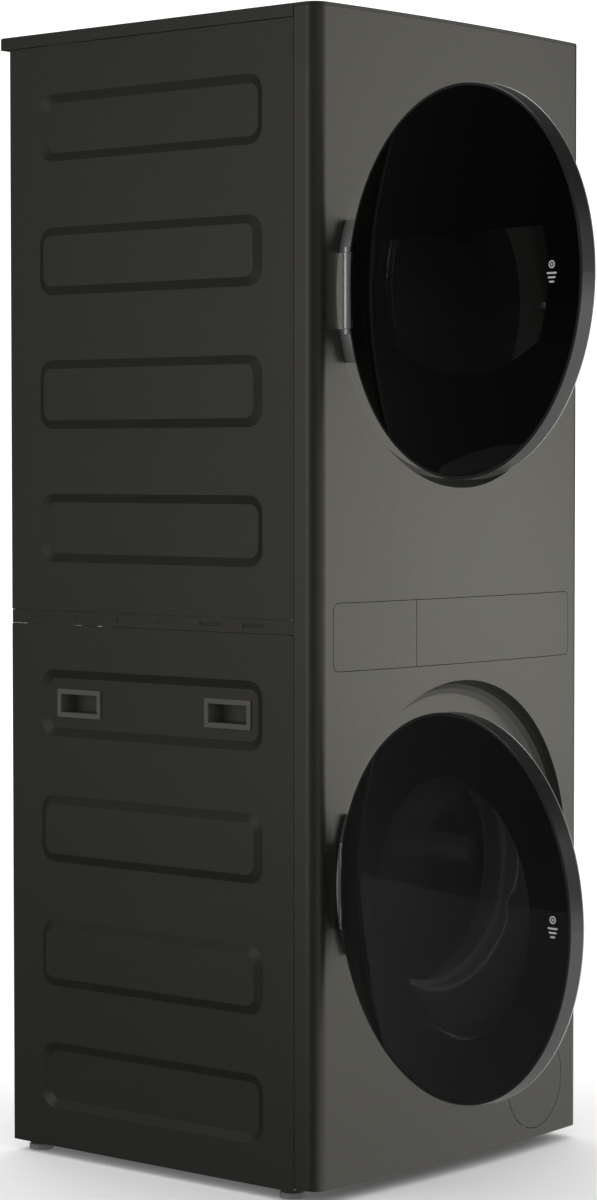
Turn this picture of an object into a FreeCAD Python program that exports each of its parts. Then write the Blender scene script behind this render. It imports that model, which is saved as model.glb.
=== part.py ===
import FreeCAD, Part
import math
import os

os.makedirs("parts", exist_ok=True)
V = FreeCAD.Vector

# Stacked washer and dryer, drawn in millimetres.
# +X is the object's left-to-right, +Y runs to the rear, +Z is up.
# The origin is on the floor at the centre of the four levelling feet.
# Both doors are drawn open; their joints take them shut.

# ---------------------------------------------------------------- driving dimensions
width = 686.0
front_y = -370.0
back_y = 305.0
lid_back_y = 325.0
seam_y = -310.5
total_height = 1841.0
bow_rise = 15.7
corner_radius = 23.0
sheet = 1.2
shell = 2.0

side_bottom_z = 17.0
front_bottom_z = 22.5
front_top_z = 1835.5
washer_side_top_z = 877.5
dryer_side_bottom_z = 901.5
dryer_side_top_z = 1819.5
deck_z = 889.0

foot_x = 308.0
foot_y = 276.5
foot_pad_r = 20.0
nut_r = 11.0

dryer_z = 1404.0
washer_z = 492.5
dish_r = 302.5
dish_wall_r = 297.5
dish_floor_r = 278.0
dish_floor_y = -333.0
mouth_r = 205.0

door_glass_y = -382.5
door_glass_r = 281.0
door_rim_r = 286.0
door_depth = 25.0
glass_dome_r = 1300.0
glass_thickness = 3.5
hinge_x = -292.0
dryer_hinge_y = -375.9
washer_hinge_y = -367.8
door_open_deg = 106.0
hinge_notch_r = 19.0
window_r = 192.0
dryer_window_r = 208.0

rib_rear_y = 237.0
rib_front_y = -246.0
rib_depth = 6.0
rib_bevel = 14.0
rib_corner = 27.0
bead_height = 4.0
bead_bevel = 5.0
dryer_ribs = [(1632.0, 1741.0, -1), (1415.0, 1525.0, 1), (1197.5, 1309.0, 1), (980.5, 1092.0, -1)]
washer_ribs = [(695.0, 804.5, -1), (488.5, 598.0, 1), (283.5, 392.0, 1), (81.0, 190.0, -1)]

handhold_y = [155.5, -169.0]
handhold_z = 750.0
handhold_l = 91.0
handhold_h = 40.0

strip_z0 = 878.5
strip_z1 = 900.5
slot_first_y = 225.0
slot_pitch = -90.4
slot_l = 46.0

panel_z0 = 821.0
panel_z1 = 927.5
panel_x0 = -306.0
panel_split = -114.4
panel_x1 = 306.0
panel_corner = 12.0
panel_gap = 1.0

filter_x = 208.0
filter_z = 118.0
filter_cover_r = 79.0
peg_r = 3.0
peg_circle_r = 60.0
peg_angles = [30, 150, 270]

tub_r = 268.0
tub_wall = 5.0
drum_r = 243.0
drum_front_y = -250.0
drum_rear_y = 150.0
shaft_r = 15.0
running_gap = 0.05

dryer_drum_r = 285.0
dryer_drum_front_y = -280.0
dryer_drum_rear_y = 236.0
rear_bulkhead_y = 240.0
roller_r = 30.0
roller_angle = 35.0
roller_y0 = 195.0
roller_y1 = 217.0
motor_x = 170.0
motor_z = 1005.0
pulley_r = 10.0
belt_y0 = -46.0
belt_y1 = -34.0
exhaust_x = 40.0
exhaust_z = 960.0
exhaust_r = 50.8

# ---------------------------------------------------------------- derived values
half = width / 2.0
bow_radius = (half * half + bow_rise * bow_rise) / (2.0 * bow_rise)
bow_centre_y = front_y + bow_radius
corner_cx = half - corner_radius
corner_cy = bow_centre_y - math.sqrt((bow_radius - corner_radius) ** 2 - corner_cx ** 2)
corner_angle = math.atan2(corner_cx, bow_centre_y - corner_cy)


# ---------------------------------------------------------------- helpers
def box(x0, x1, y0, y1, z0, z1):
    return Part.makeBox(x1 - x0, y1 - y0, z1 - z0, V(x0, y0, z0))


def cyl_y(x, z, r, y0, y1):
    return Part.makeCylinder(r, y1 - y0, V(x, y0, z), V(0, 1, 0))


def cyl_z(x, y, r, z0, z1):
    return Part.makeCylinder(r, z1 - z0, V(x, y, z0), V(0, 0, 1))


def tube_y(x, z, r_out, r_in, y0, y1):
    return cyl_y(x, z, r_out, y0, y1).cut(cyl_y(x, z, r_in, y0 - 1, y1 + 1))


def join(shapes):
    result = shapes[0]
    for shape in shapes[1:]:
        result = result.fuse(shape)
    return result.removeSplitter()


def turned(profile, z):
    """Solid of revolution about the Y axis at height z, from (radius, y) corners."""
    points = [V(r, y, z) for r, y in profile]
    face = Part.Face(Part.makePolygon(points + [points[0]]))
    return face.revolve(V(0, 0, z), V(0, 1, 0), 360)


def rod(start, end, r):
    direction = V(*end) - V(*start)
    return Part.makeCylinder(r, direction.Length, V(*start), direction)


def mirrored(shape):
    return shape.mirror(V(0, 0, 0), V(1, 0, 0))


def save(name, shape):
    solids = shape.Solids
    if len(solids) > 1:
        shape = Part.makeCompound(solids)
    else:
        shape = solids[0]
    shape.exportStep("parts/" + name + ".step")


# ---------------------------------------------------------------- cabinet plan outline
def plan_face(inset, rear_y):
    """Plan of the cabinet: gently bowed front, rounded front corners, straight sides."""
    big = bow_radius - inset
    small = corner_radius - inset
    x_side = half - inset
    tan_x = big * math.sin(corner_angle)
    tan_y = bow_centre_y - big * math.cos(corner_angle)
    mid = 0.5 * (corner_angle + math.pi / 2.0)
    mid_x = corner_cx + small * math.sin(mid)
    mid_y = corner_cy - small * math.cos(mid)
    edges = [
        Part.makeLine(V(-x_side, rear_y, 0), V(-x_side, corner_cy, 0)),
        Part.Arc(V(-x_side, corner_cy, 0), V(-mid_x, mid_y, 0), V(-tan_x, tan_y, 0)).toShape(),
        Part.Arc(V(-tan_x, tan_y, 0), V(0, front_y + inset, 0), V(tan_x, tan_y, 0)).toShape(),
        Part.Arc(V(tan_x, tan_y, 0), V(mid_x, mid_y, 0), V(x_side, corner_cy, 0)).toShape(),
        Part.makeLine(V(x_side, corner_cy, 0), V(x_side, rear_y, 0)),
        Part.makeLine(V(x_side, rear_y, 0), V(-x_side, rear_y, 0)),
    ]
    return Part.Face(Part.Wire(edges))


def plan_solid(inset, rear_y, z0, z1):
    face = plan_face(inset, rear_y)
    face.translate(V(0, 0, z0))
    return face.extrude(V(0, 0, z1 - z0))


# ---------------------------------------------------------------- front panel with two dished recesses
def dish(z, grow, depth_y):
    """Round cavity in the front panel; grow makes it larger for the outside of its wall."""
    return turned(
        [
            (0, -400),
            (dish_r + grow + 7.0, -400),
            (dish_r + grow, -372),
            (dish_wall_r + grow, -352),
            (dish_wall_r + grow - 3.5, -343.5),
            (dish_wall_r + grow - 10.5, -336.5),
            (dish_floor_r + grow, depth_y),
            (0, depth_y),
        ],
        z,
    )


def rounded_front_window(x0, x1, z0, z1, r, left, right):
    """Slab through the front wall, rounded at the chosen ends."""
    shape = box(x0, x1, -400, -300, z0, z1)
    picks = []
    for edge in shape.Edges:
        a = edge.Vertexes[0].Point
        b = edge.Vertexes[1].Point
        if abs(a.x - b.x) < 1e-6 and abs(a.z - b.z) < 1e-6:
            at_left = abs(a.x - x0) < 1e-6
            if (at_left and left) or (not at_left and right):
                picks.append(edge)
    return shape.makeFillet(r, picks)


outer = plan_solid(0, seam_y, front_bottom_z, front_top_z)
inner = plan_solid(shell, seam_y + 5, front_bottom_z + shell, front_top_z - shell)
skin = outer.cut(inner)
walls = join([dish(dryer_z, shell, dish_floor_y + shell), dish(washer_z, shell, dish_floor_y + shell)])
front_panel = skin.fuse(walls.common(outer))
for centre in (dryer_z, washer_z):
    front_panel = front_panel.cut(dish(centre, 0, dish_floor_y))
    front_panel = front_panel.cut(cyl_y(0, centre, mouth_r, -340, -320))
    front_panel = front_panel.cut(cyl_y(262, centre, 5 + running_gap, -340, -320))
front_panel = front_panel.cut(
    rounded_front_window(panel_x0, panel_x1, panel_z0, panel_z1, panel_corner, True, True)
)
front_panel = front_panel.cut(cyl_y(filter_x, filter_z, filter_cover_r + 1.2, -400, -340))
save("front_panel", front_panel)

# ---------------------------------------------------------------- control strip
opening = rounded_front_window(
    panel_x0 + panel_gap, panel_x1 - panel_gap, panel_z0 + panel_gap, panel_z1 - panel_gap,
    panel_corner - panel_gap, True, True,
)
strip_body = plan_solid(0, -330, panel_z0, panel_z1).common(opening)
strip_skin = strip_body.cut(plan_solid(4.0, -320, panel_z0 - 1, panel_z1 + 1))
drawer_front = strip_skin.common(box(-400, panel_split - 0.6, -400, -300, 800, 950))
save("drawer_front", drawer_front)
control_fascia = strip_skin.common(box(panel_split + 0.6, 400, -400, -300, 800, 950))
fascia_bosses = join([cyl_y(x, 874, 6, -367.5, -352) for x in (-90, 90, 280)])
fascia_bosses = fascia_bosses.common(plan_solid(3.9, -300, 800, 950))
save("control_fascia", join([control_fascia, fascia_bosses]))
board = box(-100, 290, -351.5, -347.5, 832, 916)
chips = [box(x, x + 34, -347.6, -341, 846, 880) for x in (-70, 20, 110, 200)]
save("control_board", join([board] + chips))

# ---------------------------------------------------------------- detergent drawer
tray_x0 = -296.0
tray_x1 = -124.0
tray = box(tray_x0, tray_x1, -351.0, -110.0, 828.0, 900.0)
for x0, x1 in ((tray_x0 + 3, -216), (-213, -164), (-161, tray_x1 - 3)):
    tray = tray.cut(box(x0, x1, -340, -113, 831, 901))
tray_neck = box(-285, -135, -362, -350.9, 840, 900).common(plan_solid(4.05, -300, 800, 950))
tray = join([tray, tray_neck])
siphon = box(-212.5, -164.5, -300, -250, 884, 890).fuse(cyl_z(-188.5, -275, 9, 836, 884))
save("drawer_tray", Part.makeCompound([tray, siphon]))
housing = box(-303, -117, -349, -94, 822, 916).cut(box(-298, -122, -350, -100, 825.5, 912))
housing_inlets = join([cyl_z(x, -140, 11, 916, 936) for x in (-250, -170)])
save("dispenser_housing", join([housing, housing_inlets]))

# ---------------------------------------------------------------- base, deck, lid and backs
pan = box(-339.5, 339.5, -304, 302, 19, 64).cut(box(-337.5, 337.5, -302, 300, 21, 65))
pan = pan.cut(box(-290, 290, -306, -300, 30, 70))
for x in (-foot_x, foot_x):
    for y in (-foot_y, foot_y):
        pan = pan.cut(cyl_z(x, y, 5.3, 10, 40))
save("base_frame", pan)

feet = []
for x, y in ((-foot_x, -foot_y), (foot_x, -foot_y), (-foot_x, foot_y), (foot_x, foot_y)):
    pad = cyl_z(x, y, foot_pad_r, 0, 9)
    pad = pad.makeChamfer(1.5, [e for e in pad.Edges if e.Length > 100 and e.BoundBox.ZMin > 5])
    nut = Part.Face(Part.makePolygon(
        [V(x + nut_r * math.cos(k * math.pi / 3), y + nut_r * math.sin(k * math.pi / 3), 9) for k in range(7)]
    )).extrude(V(0, 0, 8))
    feet.append(join([pad, nut, cyl_z(x, y, 5, 16, 48)]))
save("levelling_feet", Part.makeCompound(feet))

deck = box(-339.5, 339.5, -306, 302, deck_z, deck_z + 2)
deck_front = box(-300, 300, -308, -306, deck_z - 8, deck_z + 30)
deck_front = deck_front.cut(box(-304, -115, -310, -300, 800, 917.5))
deck_sides = [box(x, x + 2, -306, 302, deck_z, deck_z + 24) for x in (-339.5, 337.5)]
deck = join([deck] + deck_sides)
deck = deck.cut(box(-305, -115, -400, -92, 800, 940))
for s in (-1, 1):
    deck = deck.fuse(box(min(s * 276, s * 330), max(s * 276, s * 330), -35, -5, 817, 821))
    deck = deck.fuse(box(min(s * 327, s * 333), max(s * 327, s * 333), -35, -5, 817, deck_z + 1))
save("middle_deck", deck)

lid_plate = plan_solid(0, lid_back_y, front_top_z + 0.5, total_height)
lid_edges = [e for e in lid_plate.Edges if abs(e.BoundBox.ZMin - total_height) < 0.01]
lid_plate = lid_plate.makeFillet(2.0, lid_edges)
lid_skirt = box(-344, 344, seam_y + 1, lid_back_y, 1820.5, total_height - 2.1)
lid_skirt = lid_skirt.cut(box(-342.5, 342.5, seam_y - 5, lid_back_y - 1.5, 1800, 1836.2))
save("top_lid", join([lid_plate, lid_skirt]))



def stiffened(panel, beads):
    """Rear sheet with raised beads that have sloping edges; each bead is (x0, x1, z0, z1)."""
    for x0, x1, z0, z1 in beads:
        rings = []
        for y, inset in ((back_y, 0.0), (back_y + bead_height, bead_bevel)):
            corners = [
                V(x0 + inset, y, z0 + inset), V(x1 - inset, y, z0 + inset),
                V(x1 - inset, y, z1 - inset), V(x0 + inset, y, z1 - inset),
            ]
            rings.append(Part.makePolygon(corners + [corners[0]]))
        bead = Part.makeLoft(rings, True, True)
        panel = panel.fuse(bead)
        bead.translate(V(0, -sheet, 0))
        panel = panel.cut(bead)
    return panel


washer_back = box(-337, 337, back_y - sheet, back_y, 66, 876)
washer_back = washer_back.cut(box(-240, -120, 300, 310, 815, 868))
washer_back = washer_back.cut(cyl_y(208, 75, 14, 300, 310))
washer_back = stiffened(washer_back, [(-270, 270, 170 + 120 * k, 230 + 120 * k) for k in range(5)])
save("washer_back_panel", washer_back)
dryer_back = box(-337, 337, back_y - sheet, back_y, 903, 1816)
dryer_back = dryer_back.cut(cyl_y(exhaust_x, exhaust_z, exhaust_r + 1, 300, 310))
dryer_back = dryer_back.cut(box(-262, -178, 300, 310, 930, 990))
for k in range(7):
    for x in (-165, -50, 65):
        dryer_back = dryer_back.cut(box(x, x + 100, 300, 310, 1250 + 30 * k, 1258 + 30 * k))
dryer_back = stiffened(dryer_back, [(-270, 270, z, z + 70) for z in (1060, 1150, 1500, 1600, 1700)])
save("dryer_back_panel", dryer_back)


# ---------------------------------------------------------------- embossed side panels
def rounded_wire(x, y0, y1, z0, z1, r):
    edges = []
    corners = [(y0 + r, z0 + r, 180), (y1 - r, z0 + r, 270), (y1 - r, z1 - r, 0), (y0 + r, z1 - r, 90)]
    points = []
    for cy, cz, start in corners:
        arc = []
        for step in (0, 45, 90):
            a = math.radians(start + step)
            arc.append(V(x, cy + r * math.cos(a), cz + r * math.sin(a)))
        points.append(arc)
    for k in range(4):
        a, m, b = points[k]
        edges.append(Part.Arc(a, m, b).toShape())
        edges.append(Part.makeLine(b, points[(k + 1) % 4][0]))
    return Part.Wire(edges)


def rib_solid(x, direction, z0, z1):
    """Flat-topped pad with sloping edges, from the panel plane at x."""
    far = x - direction * rib_depth
    base = rounded_wire(x, rib_front_y, rib_rear_y, z0, z1, rib_corner)
    top = rounded_wire(
        far, rib_front_y + rib_bevel, rib_rear_y - rib_bevel, z0 + rib_bevel, z1 - rib_bevel, rib_corner - 10
    )
    return Part.makeLoft([base, top], True, True)


def side_panel(z0, z1, ribs, holes):
    """Left-hand sheet; direction 1 stands proud of the side and -1 is pressed inwards."""
    plate = box(-half, -half + sheet, seam_y + 1.0, back_y, z0, z1)
    flange = box(-half, -half + 16, back_y - sheet, back_y, z0, z1)
    foot_flange = box(-half, -half + 16, seam_y + 20, back_y, z0, z0 + sheet)
    flange = flange.cut(box(-338, -300, 290, 310, 0, 1900))
    foot_flange = foot_flange.common(box(-343, -339.7, -400, 400, 0, 1900))
    plate = join([plate, flange, foot_flange])
    for low, high, direction in ribs:
        if direction > 0:
            plate = plate.fuse(rib_solid(-half, direction, low, high))
            plate = plate.cut(rib_solid(-half + sheet, direction, low, high))
        else:
            plate = plate.fuse(rib_solid(-half + sheet, direction, low, high))
            plate = plate.cut(rib_solid(-half, direction, low, high))
    if holes:
        for y in handhold_y:
            plate = plate.cut(box(-360, -320, y - handhold_l / 2, y + handhold_l / 2,
                                  handhold_z - handhold_h / 2, handhold_z + handhold_h / 2))
    return plate


dryer_side = side_panel(dryer_side_bottom_z, dryer_side_top_z, dryer_ribs, False)
save("dryer_side_panel_left", dryer_side)
save("dryer_side_panel_right", mirrored(dryer_side))
washer_side = side_panel(side_bottom_z, washer_side_top_z, washer_ribs, True)
save("washer_side_panel_left", washer_side)
save("washer_side_panel_right", mirrored(washer_side))


def handhold(y):
    """Moulded grip cup with a frame that laps the pressed panel."""
    face_x = -half + rib_depth
    hl = handhold_l / 2
    hh = handhold_h / 2
    frame = box(face_x - 2.5, face_x - 0.3, y - hl - 3, y + hl + 3, handhold_z - hh - 3, handhold_z + hh + 3)
    cup = box(
        face_x - 1, face_x + 36, y - hl + 0.5, y + hl - 0.5, handhold_z - hh + 0.5, handhold_z + hh - 0.5
    )
    hollow = box(face_x - 5, face_x + 33.5, y - hl + 5, y + hl - 5, handhold_z - hh + 5, handhold_z + hh - 5)
    return join([frame, cup]).cut(hollow)


cups = [handhold(y) for y in handhold_y]
save("handhold_cups", Part.makeCompound(cups + [mirrored(cup) for cup in cups]))

strip = box(-half + 0.8, -half + 2.4, seam_y + 1.0, back_y, strip_z0, strip_z1)
strip_lip = box(-half + 2.3, -half + 3.2, seam_y + 1.0, back_y, strip_z0, strip_z0 + 9)
strip = join([strip, strip_lip])
for k in range(6):
    y = slot_first_y + slot_pitch * k
    slot = box(-half - 1, -half + (5 if k > 3 else 1.6), y - slot_l / 2, y + slot_l / 2, 887, 893)
    strip = strip.cut(slot)
save("trim_strips", Part.makeCompound([strip, mirrored(strip)]))

# ---------------------------------------------------------------- washer tub group
tub_front = turned([
    (206, -268), (tub_r, -268), (tub_r, -64), (tub_r + 10, -64), (tub_r + 10, -58),
    (tub_r - tub_wall, -58), (tub_r - tub_wall, -262), (206, -262),
], washer_z)
save("tub_front", tub_front)
tub_rear = turned([
    (shaft_r + running_gap, 176), (shaft_r + running_gap, 208), (shaft_r + 18, 208), (shaft_r + 18, 184),
    (tub_r, 184), (tub_r, -52), (tub_r + 10, -52), (tub_r + 10, -57.7), (tub_r - tub_wall, -57.7),
    (tub_r - tub_wall, 176),
], washer_z)
for k in range(8):
    a = math.radians(45 * k + 22.5)
    dx = math.cos(a)
    dz = math.sin(a)
    rib = rod((60 * dx, 187, washer_z + 60 * dz), (240 * dx, 187, washer_z + 240 * dz), 5)
    tub_rear = tub_rear.fuse(rib)
save("tub_rear", tub_rear)
gasket = turned([
    (197, -338), (204.5, -338), (204.5, -330.7), (209, -330.7), (209, -322), (204, -322), (204, -300),
    (204, -284), (208, -278), (214, -273), (214, -268.3), (203, -268.3), (199, -276), (196, -284),
    (196, -300), (189, -306),
    (189, -312), (197, -316),
], washer_z)
save("door_gasket", gasket)
ring_weight = tube_y(0, washer_z, 262, 218, -300, -269).cut(box(-300, 300, -310, -260, 0, washer_z + 20))
top_weight = box(-95, 95, -110, 90, washer_z + 262, washer_z + 320)
top_weight = top_weight.cut(cyl_y(0, washer_z, tub_r + 10.5, -200, 200))
save("counterweights", Part.makeCompound([ring_weight, top_weight]))


def spring(x, y, z0, z1):
    helix = Part.makeHelix(14.0, z1 - z0, 13.0)
    helix.translate(V(x, y, z0))
    section = Part.Wire([Part.makeCircle(2.2, V(x + 13.0, y, z0), V(0, 1, 0))])
    return Part.Wire(helix.Edges).makePipeShell([section], True, True)


suspension = [spring(x, -20, 700, 812) for x in (-290, 290)]
for s in (-1, 1):
    body = rod((s * 262, -10, 40), (s * 224, -10, 130), 15)
    piston = rod((s * 224, -10, 130), (s * 160, -10, 278), 6)
    damper = join([body, piston, cyl_y(s * 262, 40, 12, -24, 4)])
    damper = damper.cut(box(-400, 400, -400, 400, 0, 21.3))
    suspension.append(damper.cut(cyl_y(0, washer_z, tub_r + 0.5, -60, 60)))
save("tub_suspension", Part.makeCompound(suspension))
stator = tube_y(0, washer_z, 108, 62, 216, 236)
for k in range(12):
    a = math.radians(30 * k)
    stator = stator.cut(cyl_y(96 * math.cos(a), washer_z + 96 * math.sin(a), 7, 200, 250))
stator_foot = tube_y(0, washer_z, 66, 34, 208.2, 216.1)
save("motor_stator", join([stator, stator_foot]))

# ---------------------------------------------------------------- drain pump and water valve
peg_places = [
    (
        filter_x + peg_circle_r * math.cos(math.radians(angle)),
        filter_z + peg_circle_r * math.sin(math.radians(angle)),
    )
    for angle in peg_angles
]
pump = tube_y(filter_x, filter_z, 44, 36.4, -335, -262)
pump_body = cyl_y(filter_x, filter_z, 44, -262, -240).fuse(cyl_y(filter_x, filter_z, 29, -240, -190))
pump_feet = box(filter_x - 30, filter_x + 30, -300, -250, 21.3, filter_z - 40)
drain = tube_y(208, 75, 11, 9, -256, 307).fuse(tube_y(208, 75, 12, 9, 306, 328))
sump = rod((150, -170, 238), (190, -225, 120), 17).cut(cyl_y(0, washer_z, tub_r + 0.5, -260, 190))
socket_plate = tube_y(filter_x, filter_z, 68, 44, -338, -332)
socket_plate = socket_plate.fuse(tube_y(filter_x, filter_z, 46, 43.5, -338, -322))
for x, z in peg_places:
    socket_plate = socket_plate.cut(cyl_y(x, z, peg_r + 0.4, -350, -320))
save("drain_pump", join([pump, pump_body, pump_feet, drain, sump, socket_plate]))
valve = box(-238, -122, 240, 303, 822, 862)
for x in (-205, -155):
    valve = valve.fuse(tube_y(x, 842, 13.2, 9, 302, 326))
    valve = valve.fuse(cyl_z(x, 262, 14, 861, 884))
save("inlet_valve", valve)

# ---------------------------------------------------------------- washer drum (turns)
drum = turned([
    (203, drum_front_y), (drum_r, drum_front_y), (drum_r, drum_rear_y), (20, drum_rear_y),
    (20, drum_rear_y - 2),
    (drum_r - 2, drum_rear_y - 2), (drum_r - 2, drum_front_y + 2), (203, drum_front_y + 2),
], washer_z)
save("washer_drum_shell", drum)
lifters = []
for k in range(3):
    a = 90 + 120 * k
    lifter = box(-22, 22, -215, 125, 192, drum_r + 10)
    lifter = lifter.common(cyl_y(0, 0, drum_r - 2.3, -230, 140))
    lifter = lifter.cut(box(-60, -11, -300, 200, 150, 222)).cut(box(11, 60, -300, 200, 150, 222))
    lifter.rotate(V(0, 0, 0), V(0, 1, 0), a)
    lifter.translate(V(0, 0, washer_z))
    lifters.append(lifter)
save("washer_drum_lifters", Part.makeCompound(lifters))
spider = cyl_y(0, washer_z, 34, drum_rear_y + 0.3, 172).fuse(cyl_y(0, washer_z, shaft_r, 171, 246))
for k in range(3):
    a = math.radians(30 + 120 * k)
    arm = rod((0, 162, washer_z), (225 * math.cos(a), 162, washer_z + 225 * math.sin(a)), 10)
    spider = spider.fuse(arm)
save("drum_spider", spider)
rotor = turned([
    (shaft_r + 0.02, 240), (128, 240), (128, 214), (134, 214), (134, 246), (shaft_r + 0.02, 246),
], washer_z)
save("motor_rotor", rotor)

# ---------------------------------------------------------------- dryer drum group
front_bulkhead = box(-339, 339, -290, -288, 930, 1812).cut(cyl_y(0, dryer_z, 210, -300, -280))
collar = tube_y(0, dryer_z, 211, 205, -330.7, -288)
front_bulkhead = join([front_bulkhead, collar, tube_y(0, dryer_z, 226, 222, -288.1, -279)])
chute = box(-132, 132, -326, -290.1, 1062, 1215).cut(cyl_y(0, dryer_z, 207, -340, -280))
front_bulkhead = join([front_bulkhead, chute])
front_bulkhead = front_bulkhead.cut(box(-121.5, 121.5, -317.5, -299.5, 1070, 1270))
front_bulkhead = front_bulkhead.cut(cyl_y(motor_x, motor_z, 60, -300, -280))
save("dryer_front_bulkhead", front_bulkhead)
rear_bulkhead = box(-337, 337, rear_bulkhead_y, rear_bulkhead_y + 2, 903, 1816)
rear_bulkhead = rear_bulkhead.cut(cyl_y(exhaust_x, exhaust_z, exhaust_r + 1, 230, 250))
for ring in (70, 130, 190):
    count = int(ring / 10)
    for k in range(count):
        a = 2 * math.pi * k / count
        hole_x = ring * math.cos(a)
        hole_z = dryer_z + ring * math.sin(a)
        rear_bulkhead = rear_bulkhead.cut(cyl_y(hole_x, hole_z, 9, 230, 250))
drum = turned([
    (228, dryer_drum_front_y + 3), (dryer_drum_r, dryer_drum_front_y + 3), (dryer_drum_r, dryer_drum_rear_y),
    (dryer_drum_r - 2, dryer_drum_rear_y), (dryer_drum_r - 2, dryer_drum_front_y + 5),
    (228, dryer_drum_front_y + 5),
], dryer_z)
save("dryer_drum_shell", drum)
baffles = []
for k in range(3):
    a = 30 + 120 * k
    baffle = box(-26, 26, -240, 215, 222, dryer_drum_r + 10)
    baffle = baffle.common(cyl_y(0, 0, dryer_drum_r - 2.3, -300, 300))
    baffle = baffle.cut(box(-60, -12, -300, 300, 150, 250)).cut(box(12, 60, -300, 300, 150, 250))
    baffle.rotate(V(0, 0, 0), V(0, 1, 0), a)
    baffle.translate(V(0, 0, dryer_z))
    baffles.append(baffle)
save("dryer_drum_baffles", Part.makeCompound(baffles))
roller_reach = dryer_drum_r + 0.3 + roller_r
roller_dx = roller_reach * math.sin(math.radians(roller_angle))
roller_z = dryer_z - roller_reach * math.cos(math.radians(roller_angle))
axles = []
for name, s in (("drum_roller_left", -1), ("drum_roller_right", 1)):
    save(name, tube_y(s * roller_dx, roller_z, roller_r, 6 + running_gap, roller_y0, roller_y1))
    axles.append(cyl_y(s * roller_dx, roller_z, 6, roller_y0 - 6, rear_bulkhead_y + 1))
    axles.append(cyl_y(s * roller_dx, roller_z, 14, roller_y1 + 0.5, rear_bulkhead_y + 1))
save("dryer_rear_bulkhead", join([rear_bulkhead] + axles))
air_duct = box(-150, 150, 242.2, 296, 1190, 1618).cut(box(-147, 147, 240, 293, 1193, 1615))
air_duct = air_duct.cut(box(-120, 120, 280, 300, 1200, 1240))
heater = [tube_y(0, dryer_z, r + 4, r, 262, 272) for r in (50, 80, 110)]
heater.append(box(-128, 128, 264, 270, dryer_z - 5, dryer_z + 5))
save("heater_box", Part.makeCompound([air_duct, join(heater)]))

# ---------------------------------------------------------------- dryer motor, blower and exhaust
motor = cyl_y(motor_x, motor_z, 60, -190, -70).cut(cyl_y(motor_x, motor_z, 8 + running_gap, -200, -60))
motor_base = box(motor_x - 45, motor_x + 45, -180, -80, deck_z + 2.2, motor_z - 30)
motor = join([motor, motor_base.cut(cyl_y(motor_x, motor_z, 40, -200, -60))])
save("dryer_motor", motor)
rotor = cyl_y(motor_x, motor_z, 8, -252, -28)
pulley = tube_y(motor_x, motor_z, pulley_r, 7.9, belt_y0 - 2, belt_y1 + 2)
shaft = rotor.fuse(pulley)
wheel = tube_y(motor_x, motor_z, 22, 7.9, -262, -212)
wheel = wheel.fuse(tube_y(motor_x, motor_z, 78, 20, -216, -212))
for k in range(16):
    blade = box(60, 77, -262, -214, -1.2, 1.2)
    blade.rotate(V(0, 0, 0), V(0, 1, 0), 22.5 * k)
    blade.translate(V(motor_x, 0, motor_z))
    wheel = wheel.fuse(blade)
wheel = wheel.fuse(tube_y(motor_x, motor_z, 78, 62, -264, -261.5))
save("blower_wheel", wheel.fuse(shaft))
scroll = cyl_y(motor_x, motor_z, 92, -286, -203)
scroll = scroll.fuse(box(exhaust_x - 42, motor_x, -286, -203, exhaust_z - 42, exhaust_z + 42))
hollow = cyl_y(motor_x, motor_z, 86, -282, -207)
hollow = hollow.fuse(box(exhaust_x - 38, motor_x, -282, -207, exhaust_z - 38, exhaust_z + 38))
scroll = scroll.cut(hollow)
scroll = scroll.cut(cyl_y(motor_x, motor_z, 58, -290, -270))
scroll = scroll.cut(cyl_y(motor_x, motor_z, 12, -210, -200))
scroll = scroll.cut(cyl_y(exhaust_x, exhaust_z, 36, -210, -200))
exhaust = turned([
    (36, -1), (39.5, -1), (exhaust_r - 1.3, 60), (exhaust_r - 1.3, 508.5), (exhaust_r, 508.5),
    (exhaust_r, 528), (exhaust_r - 3, 528), (exhaust_r - 3, 60),
], 0)
exhaust.translate(V(exhaust_x, -202.7, exhaust_z))
save("blower_housing", join([scroll, exhaust]))
gap_x = motor_x
gap_z = motor_z - dryer_z
distance = math.hypot(gap_x, gap_z)


def belt_loop(grow, y0, y1):
    """Loop round the drum and the motor pulley."""
    big = dryer_drum_r + grow
    small = pulley_r + grow
    base = math.atan2(gap_z, gap_x)
    lean = math.acos((big - small) / distance)
    points = []
    for side in (-1, 1):
        a = base + side * lean
        first = V(big * math.cos(a), y0, dryer_z + big * math.sin(a))
        second = V(motor_x + small * math.cos(a), y0, motor_z + small * math.sin(a))
        points.append((first, second))
    quad = [points[0][0], points[0][1], points[1][1], points[1][0], points[0][0]]
    web = Part.Face(Part.makePolygon(quad)).extrude(V(0, y1 - y0, 0))
    ring = cyl_y(0, dryer_z, big, y0, y1).fuse(cyl_y(motor_x, motor_z, small, y0, y1))
    return ring.fuse(web)


belt = belt_loop(2.4, belt_y0, belt_y1).cut(belt_loop(0.4, belt_y0 - 1, belt_y1 + 1))
save("drive_belt", belt)
terminal = box(-258, -182, 262, 303.3, 934, 986)
save("terminal_block", terminal)

# ---------------------------------------------------------------- lint filter (lifts out)
lint = box(-119, 119, -315, -302, 1074, 1214)
lint = lint.cut(box(-110, 110, -320, -300, 1084, 1190))
mesh = box(-110.1, 110.1, -309.5, -307.5, 1083.9, 1190.1)
lint_handle = box(-45, 45, -315, -302, 1213.9, 1228)
lint_handle = lint_handle.cut(box(-30, 30, -320, -300, 1216, 1223))
lint = join([lint, mesh, lint_handle])
save("lint_filter", lint)

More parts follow.
